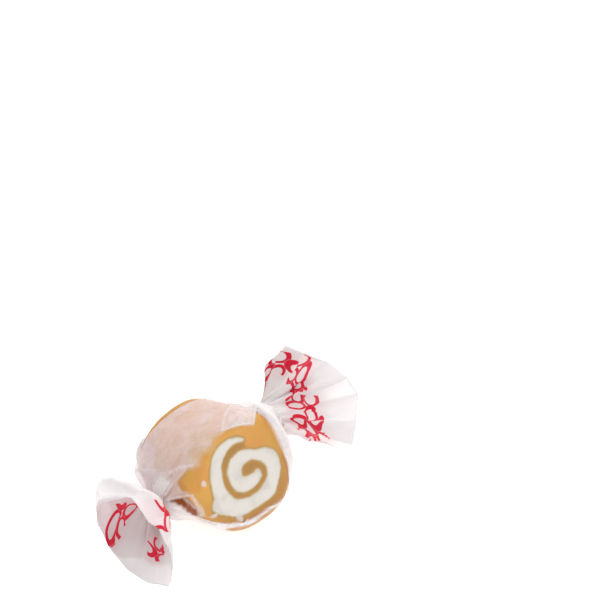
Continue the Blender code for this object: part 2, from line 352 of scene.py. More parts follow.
def store(mesh, values):
    """Stores rows of numbers on the mesh's vertices, by name."""
    for name, row in values.items():
        mesh.attributes.new(name, "FLOAT", "POINT").data.foreach_set("value", np.asarray(row, np.float32))


def settle(piece):
    """Stores the colour distances, presses the valley in, and lays the piece where it rests."""
    mesh = piece.data
    points = np.empty(len(mesh.vertices) * 3)
    mesh.vertices.foreach_get("co", points)
    points = points.reshape(-1, 3)
    x, y, z = points.T.copy()
    edge = distance_to_white(x, z)
    # up_mm and the back mask tell where the caramel is darkened as painted shade, low on the log and at its
    # back
    store(mesh, {"edge_mm": edge / MM, "arm": inside_swirl(x, z), "up_mm": z / MM})
    store(mesh, {"back": ease(*BACK_FROM, y)})
    on_face = ease(*ON_FACE, np.abs(y) / LOG_HALF_LENGTH)
    points[:, 1] -= np.sign(y) * hump(0, VALLEY_WIDTH, edge) * on_face * VALLEY_DEPTH
    points[:, 2] += slump(points[:, 1])
    points = lean(points)
    points[:, 2] = np.maximum(points[:, 2], TABLE_UNDER_LOG)
    mesh.vertices.foreach_set("co", points.ravel())
    mesh.shade_smooth()
    mesh.set_sharp_from_angle(angle=SHARP_EDGE)
    mesh.update()
    print(piece.name, "lies between %.1f and %.1f mm up" % (points[:, 2].min() / MM, points[:, 2].max() / MM))


for piece, node in ((caramel_log, "caramel_taffy"), (white_band, "white_swirl")):
    settle(piece)
    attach(piece, "root")
    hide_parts(node)

# %% [markdown]
# ## The sheet of waxed paper
#
# The real wrapper is one sheet, 97 mm wide round the log and about 80 mm long from fan to fan. A simulated
# cloth would hardly end up with this wrapper's own folds, so a flat grid is made, and each vertex is
# carried to its place: rows lie along the twists, columns round the log. The ring angle grows without a
# break from the hidden inner edge over the top, down the back, under the log, up the front face and over
# the top again to the loose end.

# %% Edges of the sheet
SHEET_WIDTH = 97 * MM
INNER_EDGE = (  # (x in mm, ring angle in degrees) of the sheet's hidden end, under the loose one
    (-14.0, 42), (-11.1, 43), (-8.5, 36), (-6.8, 41), (-3.0, 43),
    (0.0, 44), (3.4, 39), (6.0, 33), (8.5, 42), (11.6, 52),
)
OUTER_EDGE = (  # the same of the loose end, which lies slantwise over the top
    (-14.0, 492), (-10.6, 488), (-8.0, 484), (-5.1, 478), (-2.0, 474.5),
    (1.7, 472), (5.0, 470.5), (7.7, 471), (11.0, 474),
)
COLUMNS = 288


def edge_angle(edge, x):
    """The ring angle in degrees at which an edge of the sheet crosses x."""
    return np.interp(x / MM, *np.array(edge).T)


def column_angles(x):
    """The ring angle of every column where the sheet crosses x."""
    ends = [math.radians(edge_angle(edge, x)) for edge in (INNER_EDGE, OUTER_EDGE)]
    return np.linspace(*ends, COLUMNS)


print("overlap at the middle: %.0f degrees" % (np.degrees(np.ptp(column_angles(0))) - 360))

# %% [markdown]
# ### Round the log
#
# Between the necks the sheet is taut: it lies on the log until it leaves for the neck in a straight line. A
# shrinkwrap would press it on all the way. The function looks from the neck at the log's profile, and where
# the slope is largest, a string pulled from the neck would touch it.

# %% The taut sheet
NECK_REACH = 14.5 * MM  # from the log's middle
NECK_RADII = {-1: 2.1 * MM, 1: 2.8 * MM}
CLING = 0.07 * MM  # the paper's distance from the candy where it sticks to it
HALVINGS = 24
PROFILE_END = 1.12 * LOG_RADIUS
PROFILE_STEPS = 56


def over_log(x, angle, clearance):
    """How far from the X axis the sheet lies at x, where it is pressed against the log."""
    low = np.zeros_like(angle)
    high = np.full_like(angle, 2 * LOG_RADIUS)
    for _ in range(HALVINGS):
        middle = (low + high) / 2
        inside = above_log(x, -middle * np.cos(angle), middle * np.sin(angle)) < clearance
        low = np.where(inside, middle, low)
        high = np.where(inside, high, middle)
    return low


def taut_radius(side, angle, reach):
    """The stretched sheet's distance from the X axis, `reach` away from the log's middle."""
    neck = NECK_RADII[side]
    steps = np.linspace(0, PROFILE_END, PROFILE_STEPS)
    profile = np.array([over_log(side * s, angle, CLING) for s in steps])
    slopes = (profile - neck) / (NECK_REACH - steps)[:, None]
    straight = neck + slopes.max(0) * (NECK_REACH - reach)
    on_log = reach < steps[slopes.argmax(0)]
    return np.where(on_log, over_log(side * reach, angle, CLING), straight)


# %% [markdown]
# ### Blisters and creases
#
# Air caught behind the front sheet makes a few blisters, and sharp creases cross the left shoulder. A bump
# texture can't turn milky, so both are real lifts of the sheet. Creases are drawn as lines from point to
# point, and the distance to them is taken along the flat paper, as it is for the milky patches later.

# %% Drawing on the paper
BLISTERS = (  # (x, z on the face, half width, height), in mm
    (-5.2, -8.0, 1.3, 0.60),
    (2.4, -3.1, 0.8, 0.45),
)
CREASE_HEIGHT = 0.14 * MM
CREASE_HALF_WIDTH = 0.32 * MM
CREASES = (  # lines from point to point, as (x in mm, ring angle in degrees)
    ((-11.3, 422.7), (-10.6, 413.7), (-10.2, 408.9), (-9.9, 402.5), (-9.2, 397.6)),
    ((-13.4, 475), (-12.2, 460)),
    ((-13.8, 381), (-12.9, 375.4), (-11.9, 371.8), (-11.75, 358), (-11.65, 346), (-11.75, 338)),
)
MM_PER_DEGREE = 0.19  # of paper round the log, about


def blisters(x, angle):
    height = LOG_HALF_LENGTH * np.tan(angle)
    on_front = (np.cos(angle) > 0.6) * (angle > math.pi)
    lift = np.zeros_like(angle)
    for bubble_x, bubble_z, half, rise in BLISTERS:
        away = np.hypot(x - bubble_x * MM, height - bubble_z * MM) / (half * MM)
        lift += (1 - ease(0.2, 1.0, away)) * rise * MM * on_front
    return lift


def round_paper(angle):
    """Where a ring angle lies on the paper, in metres round the log."""
    return np.degrees(angle) * MM_PER_DEGREE * MM


def on_paper(places):
    """Places given as (x in mm, ring angle in degrees), in metres along and round the paper."""
    return [(x * MM, turn * MM_PER_DEGREE * MM) for x, turn in places]


def line_distance(x, around, corners):
    """Distance from points of the paper to a line that is drawn from corner to corner."""
    nearest = np.inf
    for (xa, ta), (xb, tb) in zip(corners, corners[1:]):
        share = ((x - xa) * (xb - xa) + (around - ta) * (tb - ta)) / ((xb - xa) ** 2 + (tb - ta) ** 2)
        share = np.clip(share, 0, 1)
        away = np.hypot(x - xa - share * (xb - xa), around - ta - share * (tb - ta))
        nearest = np.minimum(nearest, away)
    return nearest


def near_crease(x, angle):
    """1 on a crease's line and 0 beside it."""
    away = [line_distance(x, round_paper(angle), on_paper(crease)) for crease in CREASES]
    return 1 - ease(0, CREASE_HALF_WIDTH, np.minimum.reduce(away))


print("blisters:", len(BLISTERS), "creases:", len(CREASES))

# %% [markdown]
# ### Where it stands off the candy
#
# Waxed paper is stiff and springs off the candy. Sculpting each place by hand would be lost with the next
# change of the log, so a table says how high the sheet stands off, and where, and the loose end, its
# lifted corner and the bag behind it are added in code.

# %% Lifts
EVERYWHERE = (-99, -98, 98, 99)
LAYER_TURN = (390, 410)
SLACK_X = (-14.5, -5.85, 5.85, 14.5)
LIFTS = (  # (height in mm, x in mm and ring angle in degrees where it starts, is full, falls, and ends)
    (0.12, EVERYWHERE, (*LAYER_TURN, 998, 999)),  # the second layer, over the first
    (0.10, EVERYWHERE, (-2, -1, 100, 126)),  # the hidden end
    (2.50, (8.3, 11, 12, 14.5), (302, 345, 405, 435)),  # a bag between the face and the right twist
    (0.35, SLACK_X, (271, 297, 297, 323)),  # slack below the front rim
    (0.40, SLACK_X, (225, 255, 280, 305)),  # and under the log
)
FLAP_LIFT = 0.45 * MM
FLAP_START = 404  # ring angles go on past 360 on the second turn
FLAP_X = (0.60 * LOG_RADIUS, 1.10 * LOG_RADIUS)
CORNER_LIFT = 1.2 * MM  # of the loose end, near the left twist
CORNER_X = (-11.8 * MM, 2.2 * MM)  # middle and width
CORNER_TURN = (448, 486)
LEFT_BAG = 0.85 * MM  # of the paper behind the loose end's corner
LEFT_BAG_X = (-10.3 * MM, 2.3 * MM)
LEFT_BAG_TURN = (142, 24)


def plateau(stops, value):
    """A rise from the first of four stops to the second, and a fall from the third to the fourth."""
    rise, top, fall, end = stops
    return ease(rise, top, value) * (1 - ease(fall, end, value))


def corner_share(x, angle):
    """1 at the loose end's corner near the left twist, and 0 away from it."""
    return hump(*CORNER_X, x) * ease(*CORNER_TURN, np.degrees(angle))


def lifted(angle, x):
    """How far the sheet stands off its taut shape."""
    turn = np.degrees(angle)
    lift = blisters(x, angle) + CREASE_HEIGHT * near_crease(x, angle)
    for height, along, around in LIFTS:
        lift += height * MM * plateau(along, x / MM) * plateau(around, turn)
    lift += FLAP_LIFT * ease(FLAP_START, turn[-1], turn) ** 1.3 * (1 - ease(*FLAP_X, abs(x)))
    lift += CORNER_LIFT * corner_share(x, angle)
    return lift + LEFT_BAG * hump(*LEFT_BAG_X, x) * hump(*LEFT_BAG_TURN, turn)


corner_lift = lifted(column_angles(CORNER_X[0]), CORNER_X[0])[-1]
print("the loose end's corner stands off by %.1f mm" % (corner_lift / MM))

# %% [markdown]
# ### Pleats at the necks
#
# So much paper only passes through a narrow neck in pleats, which start on the log's shoulders and grow
# deep at the neck. A plain sine would give a soft curtain, but creased paper has narrow crests. So the wave
# is a bent sine, and its spacing is made uneven by bending the angle first.

# %% Pleats
BODY_ROWS = 44  # on each side of the log's middle
NECK_ROWS = 4
NECK_LENGTH = 1.3 * MM
NECK_TURN = math.radians(35)
CORNER_PULL = 2.3 * MM  # of the loose end's corner, towards its twist
PLEATS = 10
FINE_PLEATS = 2.3 * PLEATS
FINE_SHARE = 0.15
PLEAT_DEPTH = 0.45
PLEATS_FROM = {-1: 1.0 * LOG_RADIUS, 1: 0.86 * LOG_RADIUS}


def fold_wave(phase):
    """A wave from -1 to 1 with a period of 1, with narrow crests like creased paper."""
    return 1 - 2 * np.abs(np.sin(math.pi * phase)) ** 0.8


def uneven(angle, seed):
    """The angle, bent so that what repeats with it doesn't repeat evenly."""
    bend = 0.22 * np.sin(angle * 1.0 + seed) + 0.13 * np.sin(2.7 * angle + 2.1 * seed)
    return angle + bend + 0.07 * np.sin(6.3 * angle + seed)


def pleat_wave(angle, side):
    wide = fold_wave(uneven(angle, 1.3 + side) * PLEATS / (2 * math.pi))
    fine = fold_wave(uneven(angle, 4.1 - side) * FINE_PLEATS / (2 * math.pi))
    return (1 - FINE_SHARE) * wide + FINE_SHARE * fine


def ring(x, radius, angle):
    return np.stack([np.full_like(angle, x), -radius * np.cos(angle), radius * np.sin(angle)], 1)


def body_rows(side):
    """Rows of points from the log's middle to the end of the neck, on one side."""
    rows = []
    for reach in NECK_REACH * np.arange(BODY_ROWS + 1) / BODY_ROWS:
        x = side * reach
        angle = column_angles(x)
        depth = PLEAT_DEPTH * ease(PLEATS_FROM[side], NECK_REACH, reach) ** 1.5
        pleats = 0.5 * (1 + pleat_wave(angle, side))
        radius = (taut_radius(side, angle, reach) + lifted(angle, x)) * (1 + depth * pleats)
        rows.append(ring(x - CORNER_PULL * corner_share(x, angle), radius, angle))
    for share in np.arange(1, NECK_ROWS + 1) / NECK_ROWS:
        radius = NECK_RADII[side] * (1 + PLEAT_DEPTH * pleats)
        rows.append(ring(side * (NECK_REACH + NECK_LENGTH * share), radius, angle + side * NECK_TURN * share))
    return rows


print("pleats deepen a neck by up to %.1f mm" % (PLEAT_DEPTH * NECK_RADII[1] / MM))

# %% [markdown]
# ### The fans
#
# Beyond each neck the paper opens again. A cone would look like a skirt, but real paper bends in one
# direction at a time. So a fan is ruled from the neck to its rim, which is a loop with corners where the
# fan is folded. The right fan is pressed into a few panels, and the left one is an open cup on the table.

# %% The fans' rims
RIGHT_RIM = (  # (reach past the neck, forwards, upwards), in mm, from the front over the top
    (19.6, 5.0, -5.2), (21.0, 1.5, -2.6), (16.6, 2.3, 4.4), (12.1, 4.2, 9.0),
    (10.9, 0.5, 11.3), (7.3, -3.0, 8.8), (13.9, -4.3, 5.2), (17.9, -3.4, -3.1),
    (15.7, -2.5, -10.4), (12.1, 1.0, -15.3), (13.7, 4.0, -14.6), (18.1, 2.5, -11.2),
)
LEFT_RIM = (
    (7.6, 8.1, 2.8), (7.8, 8.3, 6.1), (8.2, 8.3, 8.9), (8.9, 2.8, 8.6), (8.5, -6.0, 5.7),
    (8.9, -9.7, 2.2), (9.7, -10.2, 0.0), (11.5, -5.5, -2.9), (13.6, 2.5, -5.4), (13.4, 9.2, -7.5),
    (11.5, 12.0, -8.9), (8.1, 9.5, -7.5), (6.3, 7.9, -4.0), (6.4, 7.8, -0.1),
)
FAN_ROWS = 22
FAN_BULGE = {-1: (2.6 * MM, 2.2 * MM), 1: (0.5 * MM, 0.0)}  # everywhere, and more on the top side
FAN_PLEATS = {-1: 0.22 * MM, 1: 0.55 * MM}
FAN_LAYER_STEP = 0.35 * MM
HOOD_FRONT = 365  # ring angle in degrees at which the left fan bulges forward over its neck
HOOD_WIDTH = 34
HOOD_PUSH = np.array([0.9, -2.4, 0.3]) * MM
BOW_SCALE = 6.75  # makes 1 of the highest value of s * s * (1 - s)


def rim_curve(corners, side, angle):
    """Points of the rim, straight between its corners, for each column's angle."""
    rim = np.array([(NECK_REACH + reach * MM, -front * MM, up * MM) for reach, front, up in corners])
    rim[:, 0] *= side
    closed = np.vstack([rim, rim[:1]])
    at = np.concatenate([[0], np.cumsum(np.linalg.norm(np.diff(closed, axis=0), axis=1))])
    where = (angle / (2 * math.pi) % 1) * at[-1]
    return np.stack([np.interp(where, at, closed[:, k]) for k in range(3)], 1)


def fan_rows(side, angle, neck, corners):
    rim = rim_curve(corners, side, angle)
    axis_points = rim * (1, 0, 0) + neck.mean(0) * (0, 1, 1)
    outwards = rim - axis_points
    outwards /= np.linalg.norm(outwards, axis=1)[:, None]
    bow = outwards * (FAN_BULGE[side][0] + FAN_BULGE[side][1] * outwards[:, 2:])
    turn = np.degrees(angle)[:, None]
    step = outwards * ease(*LAYER_TURN, turn) * FAN_LAYER_STEP
    wave = outwards * pleat_wave(angle, side)[:, None] * FAN_PLEATS[side]
    hood = hump(HOOD_FRONT, HOOD_WIDTH, turn) * (side < 0) * HOOD_PUSH
    rows = []
    for s in np.arange(1, FAN_ROWS + 1) / FAN_ROWS:
        row = neck + (rim - neck) * s + step * s
        row = row + bow * BOW_SCALE * s * s * (1 - s) + hood * BOW_SCALE * s * (1 - s) ** 2
        rows.append(row + wave * math.sin(math.pi * min(1, s * 1.1)) ** 0.7)
    return rows


def half_sheet(side, corners):
    rows = body_rows(side)
    return rows + fan_rows(side, column_angles(side * NECK_REACH), rows[-1], corners)


left_rows = half_sheet(-1, LEFT_RIM)
right_rows = half_sheet(1, RIGHT_RIM)
sheet_points = np.array(left_rows[:0:-1] + right_rows)
sheet_angles = np.array([column_angles(row[:, 0].mean()) for row in sheet_points])
ROWS = len(sheet_points)
MIDDLE_ROW = len(left_rows) - 1
print("rows:", ROWS, "columns:", COLUMNS)

# %% [markdown]
# ### Crumples
#
# Handled paper keeps long straight folds and soft dents where it hangs free. Noise in space would run
# straight through the pleats, so the folds are drawn in the flat sheet's own lengths.

# %% Flat lengths and folds
CRUMPLES = ((5.5 * MM, 3, 0.30 * MM), (2.4 * MM, 4, 0.12 * MM))  # (size, seed, height)
FREE_ROOM = (0.15 * MM, 1.6 * MM)  # gaps to the candy between which the paper becomes free to crumple
FOLD_HEIGHT = 1.0 * MM
FOLDS = (  # (heading in degrees, spacing in mm, start, share of the height)
    (12, 15.5, 0.10, 0.9),
    (63, 19.0, 0.55, 1.0),
    (118, 13.0, 0.30, 0.7),
    (158, 23.0, 0.80, 1.1),
    (38, 8.7, 0.20, 0.4),
)


def lengths_along(points):
    """For each point, the length of paper from the sheet's middle row, negative on the left."""
    steps = np.linalg.norm(np.diff(points, axis=0), axis=2)
    total = np.concatenate([np.zeros((1, COLUMNS)), np.cumsum(steps, axis=0)])
    return total - total[MIDDLE_ROW]


def facets(along, around):
    """Heights of long straight folds that cross the flat sheet in several directions."""
    height = np.zeros_like(along)
    for heading, spacing, start, share in FOLDS:
        across = along * math.cos(math.radians(heading)) + around * math.sin(math.radians(heading))
        height += share * (np.abs((across / (spacing * MM) + start) % 1 - 0.5) - 0.25)
    return height


def crumple(points, along, around):
    """The folded sheet, and how much room there was between each of its points and the candy."""
    flat = points.reshape(-1, 3)
    room = np.maximum(above_log(*flat.T), 0)
    folds = wobble(flat, CRUMPLES) + facets(along, around).ravel() * FOLD_HEIGHT
    push = np.maximum(folds * ease(*FREE_ROOM, room), -0.6 * room)
    across = np.gradient(points, axis=0).reshape(-1, 3)
    beside = np.gradient(points, axis=1).reshape(-1, 3)
    normal = np.cross(beside, across)
    normal /= np.maximum(np.linalg.norm(normal, axis=1), 1e-12)[:, None]
    moved = flat + normal * push[:, None]
    return moved.reshape(points.shape), room.reshape(points.shape[:2])


along_paper = lengths_along(sheet_points)
around_paper = np.broadcast_to(np.linspace(0, SHEET_WIDTH, COLUMNS), along_paper.shape)
sheet_points, room = crumple(sheet_points, along_paper, around_paper)
for side, rim in (("left", -along_paper[0]), ("right", along_paper[-1])):
    print("paper from the middle to the %s rim: %.0f to %.0f mm" % (side, rim.min() / MM, rim.max() / MM))

# %% [markdown]
# ### Milky or clear
#
# Waxed paper pressed onto the sticky candy has no air behind it and turns clear. One flat opacity would
# hide the swirl or lose the paper, so every point stores how milky it is: by its gap to the candy, with a
# ragged edge, and more where two layers lie loose on each other, along creases and at the sheet's edges.
# A few patches that the gap alone doesn't explain are outlined on the sheet.

# %% Patches of the sheet
FOLD_SHADOW_OUTLINE = (  # a painted shadow in the deep fold behind the face's lower left, in dark caramel-brown
    (-14.0, 378.5), (-13.4, 374.8), (-12.7, 372.4), (-12.6, 365), (-12.45, 358), (-12.15, 352), (-11.95, 346),
    (-11.95, 337), (-12.4, 334.5), (-12.9, 342), (-13.3, 352.6), (-13.8, 364), (-14.0, 371),
)
# a thin fold that gets the same painted shadow, more faintly
SHADED_SLIT_OUTLINE = ((-11.2, 413.5), (-12.35, 420), (-13.2, 436), (-13.7, 441.5), (-12.65, 425.5), (-11.5, 418))
PATCHES = (  # (milk, how much brighter its outline, corners as (x in mm, ring angle in degrees))
    (0.04, 0.0, (  # the belly, below the face
        (-9, 250), (8, 250), (8.4, 305.5), (6.9, 308.9), (4.1, 311.9), (1.8, 313.6), (-0.2, 314.0),
        (-2.6, 313.7), (-3.9, 313.8), (-5.6, 315.8), (-6.7, 317.2), (-8.0, 318.6), (-9.0, 316.5),
        (-9.8, 309), (-10.4, 297),
    )),
    (0.92, 0.0, (  # the strip right of the face
        (11.8, 442), (10.5, 412), (10.0, 379), (9.3, 352), (8.9, 330), (7.6, 315),
        (8.8, 306), (11.0, 318), (13.0, 335), (17.0, 350), (17.5, 448), (14.0, 455),
    )),
    (0.95, 0.0, (  # the strip below the face
        (-14.5, 366), (-13.4, 350), (-12.5, 336), (-11.5, 333), (-10.2, 328.9), (-7.9, 323.0), (-5.6, 319.6),
        (-3.7, 317.0), (-2.3, 316.0), (0.2, 315.7), (2.1, 315.0), (4.6, 313.2), (7.6, 310.2), (8.6, 306.0),
        (6.9, 309.2), (4.1, 312.2), (1.8, 313.9), (-0.2, 314.2), (-2.6, 313.9), (-3.9, 314.0), (-5.6, 316.0),
        (-6.7, 317.4), (-8.1, 318.8), (-9.1, 316.7), (-9.9, 309), (-10.5, 298), (-11.6, 286), (-15, 286),
    )),
    (0.55, 0.0, (  # its thinner upper left
        (-13.0, 341), (-12.4, 335), (-11.5, 332.5), (-10.0, 328.0), (-10.3, 323), (-11.6, 325), (-12.8, 331),
    )),
    (0.60, 0.3, (  # a patch of film over the top, at the right
        (-0.6, 404), (3.4, 399), (6.0, 393), (11.0, 412), (12.4, 436), (8.3, 434),
    )),
    (0.50, 0.0, ((-9.7, 376), (-9.4, 379.5), (-9.0, 379.5), (-8.7, 376), (-9.0, 372.5), (-9.4, 372.5))),
    (0.50, 0.0, ((-10.9, 337.6), (-10.3, 340), (-9.6, 339.5), (-9.4, 337.6), (-10.0, 335.8), (-10.7, 336))),
    (0.45, 0.0, ((-6.3, 324), (-5.8, 326.5), (-5.2, 325.5), (-5.1, 323), (-5.6, 321.2), (-6.2, 322))),
    (0.42, 0.4, (  # the film that bulges at the left, behind the loose end
        (-8.0, 118), (-12.0, 112), (-13.0, 150), (-10.5, 168), (-8.0, 150),
    )),
    (0.54, 0.12, (  # the left shoulder's upper panel
        (-15.0, 492), (-14.2, 489), (-13.4, 475), (-12.2, 460), (-11.5, 439.5), (-11.2, 422.4),
        (-11.4, 415.5), (-12.5, 422.8), (-13.3, 440), (-14.2, 455), (-15.5, 470),
    )),
    (0.44, 0.15, (  # the panel below it
        (-11.4, 415.5), (-10.4, 407), (-9.9, 400.5), (-10.5, 399.5), (-11.5, 400.4), (-12.2, 396.6),
        (-12.5, 384), (-11.9, 372), (-12.9, 375), (-13.8, 381), (-14.2, 395), (-13.9, 410),
        (-13.6, 438), (-13.3, 440), (-12.5, 422.8),
    )),
    (0.04, 0.0, (  # the clear window of film below that
        (-13.6, 378), (-12.0, 373), (-11.7, 355), (-11.75, 338), (-12.6, 337), (-13.6, 352),
    )),
    # the painted fold shadow is made fully milky, so its dark colour covers the film
    (1.0, 0.0, FOLD_SHADOW_OUTLINE),
)
PATCH_SOFTNESS = 0.16 * MM


def inside_outline(places, x, around):
    """Distance in metres from points of the sheet to an outline, positive inside it."""
    corners = on_paper(places)
    corners = corners + corners[:1]
    inside = np.zeros(x.shape, bool)
    for (xa, ta), (xb, tb) in zip(corners, corners[1:]):
        if ta != tb:
            inside ^= ((ta > around) != (tb > around)) & (x < xa + (around - ta) * (xb - xa) / (tb - ta))
    return np.where(inside, 1, -1) * line_distance(x, around, corners)


print("outlined patches:", len(PATCHES))

# %% How milky each point is
RAGGED = ((2.6 * MM, 8, 0.6), (1.1 * MM, 9, 0.4))  # (size, seed, height)
MILKY_GAPS = (0.30 * MM, 1.30 * MM)
RAGGED_GAP = 0.20 * MM  # how much the ragged noise shifts these gaps
CLEAR_GAP = 2.6 * MM  # more gap that stays clear, left of the swirl, where caramel clings to the paper
CLEAR_REACH = (-2 * MM, -8 * MM, -11.6 * MM, -12.8 * MM)
CLEAR_TURN = (-62, -40, 24, 33)
FLAP_MILK = 0.50
FLAP_FROM_EDGE = (5, 32)  # degrees past the hidden edge between which the loose end gets milkier
CREASE_MILK = 0.50
EDGE_MILK = 0.75
EDGE_WIDTH = 0.30 * MM
THIN_MILK = 0.52  # at most, on the left shoulder above the face
THIN_REACH = (-6 * MM, -9 * MM)
THIN_TURN = (395, 410)
THIN_END = -13.6 * MM


def milk_by_gap(x, angle, ragged):
    still_clear = CLEAR_GAP * plateau(CLEAR_REACH, x) * plateau(CLEAR_TURN, np.degrees(half_turn(angle)))
    return ease(*MILKY_GAPS, room - still_clear + ragged * RAGGED_GAP)


def milk_by_layers(x, angle, ragged):
    """The milk of the loose end, which has the hidden end below it: a soft edge left, a sharp one right."""
    past_edge = np.degrees(angle) - (360 + edge_angle(INNER_EDGE, x))
    softness = 1.0 + 7.0 * ease(1 * MM, -3 * MM, x)
    doubled = ease(-softness, softness, past_edge + ragged * 0.8 * softness)
    return FLAP_MILK * doubled * (0.84 + 0.16 * ease(*FLAP_FROM_EDGE, past_edge)) * (1 + 0.22 * ragged)


def milk_by_edge(x):
    """The milk of the sheet's own edges, of the hidden one only where it shows."""
    from_edge = np.minimum(around_paper, SHEET_WIDTH - around_paper)
    shows = np.where(around_paper < SHEET_WIDTH / 2, ease(-1 * MM, 1 * MM, x), 1)
    return EDGE_MILK * (1 - ease(0.3 * EDGE_WIDTH, EDGE_WIDTH, from_edge)) * shows


def milkiness(points, angle):
    x = points[:, :, 0]
    ragged = wobble(points.reshape(-1, 3), RAGGED).reshape(x.shape)
    by_crease = CREASE_MILK * near_crease(x, angle)
    layers = milk_by_layers(x, angle, ragged) + by_crease
    milk = np.maximum.reduce([milk_by_gap(x, angle, ragged), layers, milk_by_edge(x)])
    thin = ease(*THIN_REACH, x) * ease(*THIN_TURN, np.degrees(angle)) * (x > THIN_END)
    milk = np.where(thin > 0.5, np.minimum(milk, THIN_MILK + 0.06 * ragged + by_crease), milk)
    for value, outline, corners in PATCHES:
        inwards = inside_outline(corners, x, round_paper(angle))
        cover = ease(-PATCH_SOFTNESS, PATCH_SOFTNESS, inwards)
        rim = outline * (1 - ease(0, 2 * PATCH_SOFTNESS, np.abs(inwards)))
        milk = milk + (value * (1 + 0.12 * ragged) + by_crease - milk) * cover + rim
    return np.clip(milk, 0, 1)


milk = milkiness(sheet_points, sheet_angles)
print("clear: %.0f %% of the sheet" % (100 * (milk < 0.1).mean()))

# %% [markdown]
# A deep fold behind the face's lower left is painted dark as its shadow, the loose end gets a painted warm
# shade over the candy, and deep in the left cup several layers shade each other. Light bouncing between thin
# layers is slow and grainy to render, so the sheet stores three more values, and the finish mixes painted
# shade by each.

# %% Tints of the sheet
SLIT_SHARE = 0.65  # of the painted shadow's darkness, in a fold that is only shaded
# where the loose end gets its painted warm shade, standing in for the caramel's glow through the paper
PAINTED_WARM_FROM = 400  # ring angle in degrees, and less at the left
PAINTED_WARM_FROM_LEFT = 370
PAINTED_WARM_SOFTNESS = 8
PAINTED_WARM_X = (-17, -15, 8, 10)  # mm
# where the left cup gets its painted shade
CUP_ROUND = (12, 18, 48, 53)  # mm round the flat sheet, where the left fan's inside is deep
CUP_RIM = (-33.6, -32.8)  # mm along it
CUP_DEPTH = (-33, -27)
CUP_LEAST = 0.55


def painted_fold_shadow(points, angle):
    """Painted shadow: 1 in the deep fold behind the face's lower left, and less along a fold that lies in its
    own shade.
    """
    stains = []
    for share, corners in ((1.0, FOLD_SHADOW_OUTLINE), (SLIT_SHARE, SHADED_SLIT_OUTLINE)):
        inwards = inside_outline(corners, points[:, :, 0], round_paper(angle))
        stains.append(share * ease(-PATCH_SOFTNESS, PATCH_SOFTNESS, inwards))
    return np.maximum.reduce(stains)


def over_inner(x, turn):
    """1 on the loose end over the log, where the paper gets a painted warm shade."""
    starts = PAINTED_WARM_FROM + (PAINTED_WARM_FROM_LEFT - PAINTED_WARM_FROM) * ease(-9 * MM, -11 * MM, x)
    return ease(0, PAINTED_WARM_SOFTNESS, turn - starts) * plateau(PAINTED_WARM_X, x / MM)


def painted_cup_shade(u, v):
    """Painted shade: 1 deep inside the left fan's cup, for places in mm along and round the flat sheet."""
    inside_cup = plateau(CUP_ROUND, v) * ease(*CUP_RIM, u) * (u < 0)
    return inside_cup * (CUP_LEAST + (1 - CUP_LEAST) * ease(*CUP_DEPTH, u))


sheet_values = {
    "milk": milk,
    # the next three tints are painted: shade deep in the left cup, warm shade over the candy, and the fold's
    # shadow
    "cup": painted_cup_shade(along_paper / MM, around_paper / MM),
    "painted_warm_shade": over_inner(sheet_points[:, :, 0], np.degrees(sheet_angles)),
    "painted_fold_shadow": painted_fold_shadow(sheet_points, sheet_angles),
    "room_mm": np.minimum(room / MM, 9),
}
for tint in ("cup", "painted_warm_shade", "painted_fold_shadow"):
    print("%s: %.1f %% of the sheet" % (tint, 100 * (sheet_values[tint] > 0.5).mean()))

# %% [markdown]
# ### From grid to wrapper
#
# The grid operator makes the faces, and a vertex's flat place tells its row and column. The flat lengths
# become the UV map, so that the print follows the folds. A modifier thickens the paper at the end, because
# one skin is easier to shape than two.

# %% Making the sheet
PAPER_THICKNESS = 0.05 * MM
SHARP_FOLD = math.radians(38)
UV_PER_METRE = 10

bm = bmesh.new()
bmesh.ops.create_grid(bm, x_segments=ROWS - 1, y_segments=COLUMNS - 1, size=1, calc_uvs=False)
bm.verts.ensure_lookup_table()
flat = vertex_array(bm)
row = np.rint((flat[:, 0] + 1) / 2 * (ROWS - 1)).astype(int)
column = np.rint((flat[:, 1] + 1) / 2 * (COLUMNS - 1)).astype(int)
uv_layer = bm.loops.layers.uv.new("flat_sheet")
flat_uv = np.stack([along_paper, around_paper], 2)[row, column] * UV_PER_METRE
for face in bm.faces:
    for loop in face.loops:
        loop[uv_layer].uv = flat_uv[loop.vert.index]
points = lean(sheet_points.reshape(-1, 3)).reshape(sheet_points.shape)
points[:, :, 2] = np.maximum(points[:, :, 2], PAPER_THICKNESS)
set_vertices(bm, points[row, column])
paper_sheet = new_piece("paper_sheet", bm)
store(paper_sheet.data, {key: values[row, column] for key, values in sheet_values.items()})
paper_sheet.data.shade_smooth()
paper_sheet.data.set_sharp_from_angle(angle=SHARP_FOLD)
thickness = paper_sheet.modifiers.new("thickness", "SOLIDIFY")
thickness.thickness = PAPER_THICKNESS
thickness.offset = 0
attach(paper_sheet, "root")
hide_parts("wax_wrapper")
print("sheet:", len(paper_sheet.data.polygons), "quads")

# %% [markdown]
# ## Finishes
#
# Materials are node trees, and written out node by node they hide what they do. So a few helpers add a
# node, give its inputs values or links, and stand for the kinds of node that are used most.

